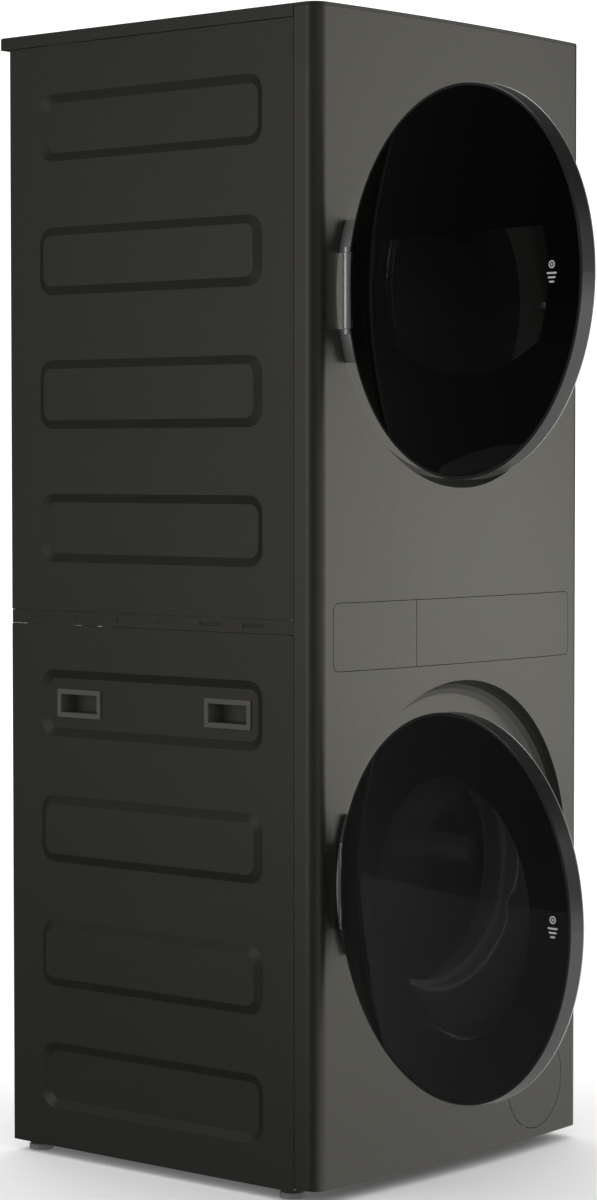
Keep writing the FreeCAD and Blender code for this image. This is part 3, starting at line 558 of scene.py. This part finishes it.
BACK_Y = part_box("dryer_back_panel")[1][1] / MM - 4.0
BACK_SCREWS = {
    "washer": ((84, 280, 480, 680, 862), (76, 868)),
    "dryer": ((914, 1130, 1350, 1570, 1806), (911, 1808)),
}
for unit, (side_heights, middle_heights) in BACK_SCREWS.items():
    back_places = upright_rows(327.0, side_heights) + [(x, z) for x in (-110, 110) for z in middle_heights]
    places = [(x, BACK_Y, z) for x, z in back_places]
    screws(unit + "_back_screws", places, (0, 1, 0), flange_head(5.5), SCREW_ZINC, "cabinet")
LID_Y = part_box("top_lid")[1][1] / MM
places = [(x, LID_Y, 1829.0) for x in (-290, 0, 290)]
screws("lid_screws", places, (0, 1, 0), pan_head(4.5), SCREW_BLACK, "cabinet")


# ---------------------------------------------------------------- painted shade: dark bars behind the joint strips
def slot_shade_bars(side):
    """Dark bars of painted shade behind the open slots of a joint strip and the seams above and below it."""
    bars = []
    for x0, x1, y0, y1, z0, z1 in (
        (339.6, 340.5, -262.0, 303.0, 882.0, 898.0),
        (340.7, 341.6, -300.0, 304.0, 875.5, 878.3),
        (340.7, 341.6, -300.0, 304.0, 900.7, 903.5),
    ):
        low, high = sorted((side * x0, side * x1))
        bars.append(rounded_bar((low, y0, z0), (high, y1, z1), 0.35, 0.1))
    return bars


for side, word in ((-1, "left"), (1, "right")):
    piece("joint_slot_shade_" + word, slot_shade_bars(side), [SLOT_SHADE], "cabinet")


# ---------------------------------------------------------------- doors
GLASS_EDGE_Y = -382.5
GLASS_R = 281.0
DOME_R = 1300.0


def dome_y(r):
    """Outer face of the domed glass at radius r, on the shut door."""
    return GLASS_EDGE_Y - (math.sqrt(DOME_R ** 2 - r ** 2) - math.sqrt(DOME_R ** 2 - GLASS_R ** 2))


def strip_mark(x, z, width, height, steps=8):
    """Thin rounded bar printed on the glass."""
    r = height / 2
    outline = []
    for cx, start in ((x + width / 2 - r, -90), (x - width / 2 + r, 90)):
        for k in range(steps + 1):
            a = math.radians(start + 180.0 * k / steps)
            outline.append((cx + r * math.cos(a), z + r * math.sin(a)))
    return outline


def printed(outline, centre_z, lift=0.12):
    """Thin raised print that follows the dome, from (x, z) points about the door's centre."""
    count = len(outline)
    points = []
    for offset in (0.05, -lift):
        points += [(x, dome_y(math.hypot(x, z)) + offset, centre_z + z) for x, z in outline]
    faces = [tuple(range(count)), tuple(range(count, 2 * count))]
    faces += [(k, (k + 1) % count, count + (k + 1) % count, count + k) for k in range(count)]
    return points, faces


def ring_mark(x, z, r_out, r_in, centre_z, steps=24):
    rings = [[], [], [], []]
    for k in range(steps):
        a = 2.0 * math.pi * k / steps
        for ring, r, lift in zip(rings, (r_out, r_in, r_in, r_out), (0.05, 0.05, -0.12, -0.12)):
            px, pz = x + r * math.cos(a), z + r * math.sin(a)
            ring.append((px, dome_y(math.hypot(px, pz)) + lift, centre_z + pz))
    points = [point for ring in rings for point in ring]
    faces = []
    for a in range(4):
        b = (a + 1) % 4
        for k in range(steps):
            n = (k + 1) % steps
            faces.append((a * steps + k, a * steps + n, b * steps + n, b * steps + k))
    return points, faces


def edge_bead(z, r, y, size, start, end, steps=160):
    """Polished round bead along the back edge of a door ring, open at the hinge notch."""
    points, faces = [], []
    corners = [math.radians(a) for a in range(0, 360, 45)]
    section = [(size * math.cos(a), size * math.sin(a)) for a in corners]
    count = len(section)
    for i in range(steps + 1):
        a = math.radians(start + (end - start) * i / steps)
        for dr, dy in section:
            points.append(((r + dr) * math.cos(a), y + dy, z + (r + dr) * math.sin(a)))
    for i in range(steps):
        for k in range(count):
            n = (k + 1) % count
            faces.append((i * count + k, i * count + n, (i + 1) * count + n, (i + 1) * count + k))
    faces.append(tuple(range(count)))
    faces.append(tuple(range(steps * count, (steps + 1) * count)))
    return points, faces


# half the angle of the hinge notch, seen from the door's centre
NOTCH_DEG = 12.5
BEAD_R, BEAD_Y, BEAD_SIZE = 285.0, -358.3, 1.1
# where each push mark is, as (x, z) from the door's centre
PUSH_MARK = {"dryer": (232.0, 2.7), "washer": (254.0, 3.8)}
HINGE_SCREW_R = 293.5
for unit in ("dryer", "washer"):
    body, z, matrix = unit + "_door", CENTRE_Z[unit], door_matrix(unit)
    mark_x, mark_z = PUSH_MARK[unit]
    ring_z = mark_z + 10.0
    parts = [ring_mark(mark_x, ring_z, 5.6, 3.6, z), ring_mark(mark_x, ring_z, 1.7, 0.2, z)]
    for dz, width in ((-2.0, 18.0), (-8.0, 14.0), (-14.0, 9.0)):
        parts.append(printed(strip_mark(mark_x, mark_z + dz, width, 2.6), z))
    piece(unit + "_push_mark", parts, [MARK], body, matrix)
    places = on_circle(0, z, 240.0, -349.7, range(30, 360, 60))
    screws(
        unit + "_door_screws", places, (0, 1, 0), pan_head(4.4), SCREW_BLACK, body, matrix
    )
    bead = edge_bead(z, BEAD_R, BEAD_Y, BEAD_SIZE, NOTCH_DEG - 180.0, 180.0 - NOTCH_DEG)
    piece(unit + "_ring_bead", [bead], [CHROME], body, matrix)
    cheek_front = HINGE_Y[unit] - 5.5
    places = on_circle(0, z, HINGE_SCREW_R, cheek_front, [180 + a for a in (-18.6, -13.6, 13.6, 18.6)])
    screws(
        unit + "_hinge_screws", places, (0, -1, 0), pan_head(3.0), SCREW_BLACK, "cabinet"
    )

seal = [
    (220.0, 0.0), (236.0, 0.0), (235.0, 4.5), (231.0, 6.5), (230.0, 9.0), (233.5, 13.6), (231.5, 14.6),
    (226.5, 11.2), (222.5, 10.0), (221.0, 5.0),
]
seal_ring = revolve(seal, (0, -349.2, DRYER_Z), (0, 1, 0), 96, True)
piece("dryer_door_seal", [seal_ring], [GASKET], "dryer_door", door_matrix("dryer"))


# ---------------------------------------------------------------- drum patterns
def away_from(angle, angles, margin):
    return all(abs((angle - other + math.pi) % (2.0 * math.pi) - math.pi) > margin for other in angles)


def inward(r, angle, y, z):
    """Point on a drum wall and the direction towards its axis."""
    return (r * math.cos(angle), y, z + r * math.sin(angle)), (-math.cos(angle), 0.0, -math.sin(angle))


def oval_dimple(r, angle, y, z):
    """Long low bump pressed into a drum wall, with its length along the drum."""
    place, out = inward(r, angle, y, z)
    points, faces = revolve([(9.0, -0.3), (8.0, 0.3), (5.4, 1.0), (0.0, 1.25)], place, out, 12)
    place, across = Vector(place), Vector((-math.sin(angle), 0.0, math.cos(angle)))
    squeezed = []
    for point in points:
        offset = (point - place).dot(across)
        squeezed.append(point - across * offset * 0.55)
    return squeezed, faces


baffle_angles = [math.radians(a) for a in (60, 180, 300)]
dimples = []
for row in range(14):
    for k in range(66):
        angle = 2.0 * math.pi * (k + 0.5 * (row % 2)) / 66
        if away_from(angle, baffle_angles, 0.16):
            dimples.append(oval_dimple(283.0, angle, -246.0 + 35.0 * row, DRYER_Z))
piece("dryer_drum_dimples", dimples, [STEEL_PLAIN], "dryer_drum")

lifter_angles = [math.radians(a) for a in (0, 120, 240)]
EYELET = [(2.5, -0.2), (1.9, 0.55), (1.3, 0.35), (0.0, 0.1)]
EYELET_FACES = 24
HOLE_FACES = 8
eyelets, holes, first = [], [], 0
for row in range(12):
    for k in range(48):
        for du, dv in ((-4.6, 0.0), (4.6, 0.0), (0.0, -5.2), (0.0, 5.2)):
            angle = 2.0 * math.pi * (k + 0.5 * (row % 2)) / 48 + du / 241.0
            if away_from(angle, lifter_angles, 0.14):
                place, out = inward(241.0, angle, -228.0 + 30.0 * row + dv, WASHER_Z)
                eyelets.append(revolve(EYELET, place, out, HOLE_FACES))
                holes += range(first + EYELET_FACES - HOLE_FACES, first + EYELET_FACES)
                first += EYELET_FACES
piece("washer_drum_eyelets", eyelets, [STEEL_PLAIN, HOLE], "washer_drum", None, holes)


# ---------------------------------------------------------------- stage, light and camera
# radiance of the world for diffuse light, and of what glossy surfaces mirror in it
WORLD_LEVEL = 1.25
MIRRORED_SKY = 0.030
MIRRORED_FLOOR = (0.045, 0.66)
LIT_SIDE = (0.76, -0.65, 0.0)


def plain(name, colour, roughness):
    s = Surface(name, colour, roughness)
    s.vary(s.noise(2.0, 2.0), 0.01)
    return s.material


FLOOR_RADIUS = 4.5
floor_mesh = bpy.data.meshes.new("floor")
FLOOR_STEPS = 96
turns = [2.0 * math.pi * k / FLOOR_STEPS for k in range(FLOOR_STEPS)]
rim = [(FLOOR_RADIUS * math.cos(a), FLOOR_RADIUS * math.sin(a), 0.0) for a in turns]
floor_mesh.from_pydata(rim, [], [tuple(range(FLOOR_STEPS))])
floor_mesh.materials.append(plain("floor_pale", (0.90, 0.90, 0.90), 0.8))
floor = bpy.data.objects.new("floor", floor_mesh)
floor.location.z = cad_box[0][2] - 0.0004
bpy.context.scene.collection.objects.link(floor)
floor.visible_glossy = False


def soft_box(name, place, target, size, radiance):
    """Area light of the given radiance, so that its power follows its size."""
    light = bpy.data.lights.new(name, "AREA")
    light.shape = "RECTANGLE"
    light.size = size[0]
    light.size_y = size[1]
    light.energy = radiance * math.pi * size[0] * size[1]
    obj = bpy.data.objects.new(name, light)
    obj.location = place
    obj.rotation_euler = (Vector(target) - Vector(place)).to_track_quat("-Z", "Y").to_euler()
    bpy.context.scene.collection.objects.link(obj)
    obj.visible_camera = False
    return obj


# name, place, target, size in metres, radiance
soft_box("key", (4.4, -4.2, 2.0), (0.0, 0.0, 1.3), (4.6, 4.2), 0.94)
soft_box("key_low", (4.6, -4.4, 0.55), (0.0, 0.0, 0.4), (4.6, 1.1), 1.1)
soft_box("side_fill", (-5.9, 2.3, 1.5), (0.0, 0.0, 1.0), (3.0, 3.6), 0.90)
soft_box("top", (0.4, 0.8, 4.6), (0.0, 0.0, 1.0), (3.0, 3.0), 1.0)

world = bpy.data.worlds.new("studio")
bpy.context.scene.world = world
world.use_nodes = True
tree = world.node_tree
back = tree.nodes["Background"]
path = tree.nodes.new("ShaderNodeLightPath")
direction = tree.nodes.new("ShaderNodeTexCoord")
upward = tree.nodes.new("ShaderNodeSeparateXYZ")
tree.links.new(direction.outputs["Generated"], upward.inputs[0])
mirrored = tree.nodes.new("ShaderNodeMapRange")
tree.links.new(upward.outputs[2], mirrored.inputs["Value"])
for key, value in (("From Min", -0.10), ("From Max", 0.02), ("To Max", MIRRORED_SKY)):
    mirrored.inputs[key].default_value = value
lit_side = tree.nodes.new("ShaderNodeVectorMath")
lit_side.operation = "DOT_PRODUCT"
tree.links.new(direction.outputs["Generated"], lit_side.inputs[0])
lit_side.inputs[1].default_value = LIT_SIDE
lit_floor = tree.nodes.new("ShaderNodeMapRange")
tree.links.new(lit_side.outputs["Value"], lit_floor.inputs["Value"])
floor_low, floor_high = MIRRORED_FLOOR
for key, value in (("From Min", -0.2), ("From Max", 0.6), ("To Min", floor_low), ("To Max", floor_high)):
    lit_floor.inputs[key].default_value = value
tree.links.new(lit_floor.outputs[0], mirrored.inputs["To Min"])
level = tree.nodes.new("ShaderNodeMix")
tree.links.new(path.outputs["Is Glossy Ray"], level.inputs["Factor"])
level.inputs["A"].default_value = WORLD_LEVEL
tree.links.new(mirrored.outputs[0], level.inputs["B"])
back.inputs["Color"].default_value = (1.0, 1.0, 1.0, 1.0)
tree.links.new(level.outputs["Result"], back.inputs["Strength"])

bpy.context.scene.view_settings.view_transform = "Standard"

CAMERA_PLACE = (-4.0626, -3.5085, 1.1423)
FOCAL, FRAME_HEIGHT, SENSOR_HEIGHT = 3207.2, 1200.0, 36.0
YAW, PITCH, ROLL = math.radians(49.39), math.radians(-2.45), math.radians(-0.03)
forward = Vector((math.sin(YAW) * math.cos(PITCH), math.cos(YAW) * math.cos(PITCH), math.sin(PITCH)))
lens = bpy.data.cameras.new("camera")
lens.sensor_fit = "VERTICAL"
lens.sensor_height = SENSOR_HEIGHT
lens.lens = FOCAL * SENSOR_HEIGHT / FRAME_HEIGHT
lens.clip_end = 200.0
camera = bpy.data.objects.new("camera", lens)
camera.matrix_world = (
    Matrix.Translation(CAMERA_PLACE)
    @ forward.to_track_quat("-Z", "Y").to_matrix().to_4x4()
    @ Matrix.Rotation(ROLL, 4, "Z")
)
bpy.context.scene.collection.objects.link(camera)
bpy.context.scene.camera = camera
